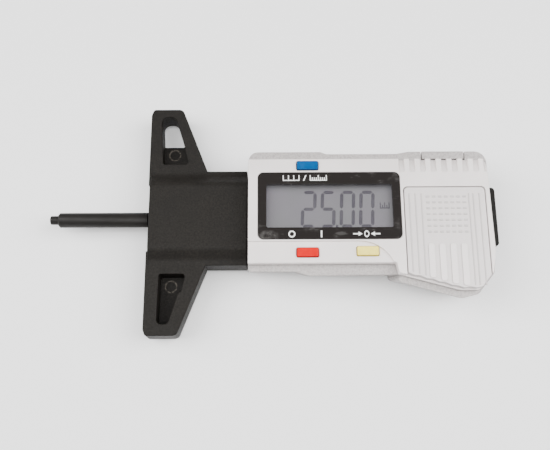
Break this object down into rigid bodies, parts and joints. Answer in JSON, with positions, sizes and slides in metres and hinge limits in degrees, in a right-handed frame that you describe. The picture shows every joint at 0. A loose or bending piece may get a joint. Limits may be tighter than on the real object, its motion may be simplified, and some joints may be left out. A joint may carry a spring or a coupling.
{
  "type": "tire tread gauge",
  "caption": "Digital tread depth gauge: a T base rests on the tread and a probe on a sliding display head reaches into the groove.",
  "frame": {"origin": "where the probe's axis crosses the measuring plane of the T base", "axes": "+X along the probe, from the measuring plane towards the display head; +Y across the T base, towards the ear with the hanging hole; +Z out of the display"},
  "size_m": [0.114, 0.06, 0.0156],
  "materials": {
    "base_plastic": "fine mould grain",
    "beam_plastic": "smooth satin",
    "case_silver": "silver paint, satin",
    "door_silver": "silver paint, satin",
    "port_silver": "silver paint, granular",
    "bezel_black": "gloss",
    "window_clear": "clear acrylic",
    "lcd_grey": "satin polariser",
    "frame_black": "satin",
    "zebra_rubber": "matt silicone",
    "board_green": "solder mask on glass-fibre board",
    "scale_board": "solder mask on glass-fibre board",
    "scale_film": "printed film",
    "chip_black": "epoxy",
    "bright_steel": "bright",
    "spring_steel": "rolled",
    "carrier_steel": "machined",
    "screw_steel": "nickel plated",
    "probe_black": "black oxide, satin",
    "contact_brass": "gold flash",
    "label_grey": "satin film",
    "button_blue": "satin",
    "button_red": "satin",
    "button_yellow": "satin"
  },
  "bodies": {
    "base": {"base_foot": "base_plastic", "base_back_cover": "base_plastic", "base_screws": "screw_steel", "slide_beam": "beam_plastic", "scale_strip": "scale_board", "scale_film": "scale_film"},
    "head": {"front_cover": "case_silver", "back_cover": "case_silver", "display_bezel": "bezel_black", "window_lens": "window_clear", "lcd_panel": "lcd_grey", "lcd_frame": "frame_black", "zebra_connectors": "zebra_rubber", "circuit_board": "board_green", "sensor_chip": "chip_black", "dome_switches": "spring_steel", "battery": "bright_steel", "contact_plus": "spring_steel", "contact_minus": "spring_steel", "probe_pin": "probe_black", "pin_carrier": "carrier_steel", "carrier_screws": "screw_steel", "case_screws": "screw_steel", "board_screws": "screw_steel", "friction_spring": "spring_steel", "port_contacts": "contact_brass", "back_label": "label_grey"},
    "unit_key": {"unit_button": "button_blue"},
    "power_key": {"power_button": "button_red"},
    "zero_key": {"zero_button": "button_yellow"},
    "battery_hatch": {"battery_door": "door_silver"},
    "port_hatch": {"port_cover": "port_silver"}
  },
  "joints": [
    {"name": "head_slide", "type": "slide", "parent": "base", "child": "head", "axis": [1, 0, 0], "range_m": [-0.0004, 0.025]},
    {"name": "unit_press", "type": "slide", "parent": "head", "child": "unit_key", "axis": [0, 0, -1], "range_m": [0, 0.0005], "stiffness_N_per_m": 400},
    {"name": "power_press", "type": "slide", "parent": "head", "child": "power_key", "axis": [0, 0, -1], "range_m": [0, 0.0005], "stiffness_N_per_m": 400},
    {"name": "zero_press", "type": "slide", "parent": "head", "child": "zero_key", "axis": [0, 0, -1], "range_m": [0, 0.0005], "stiffness_N_per_m": 400},
    {"name": "battery_door_slide", "type": "slide", "parent": "head", "child": "battery_hatch", "axis": [0, -1, 0], "range_m": [0, 0.022]},
    {"name": "port_cover_pull", "type": "slide", "parent": "head", "child": "port_hatch", "axis": [0, 1, 0], "range_m": [0, 0.006]}
  ]
}
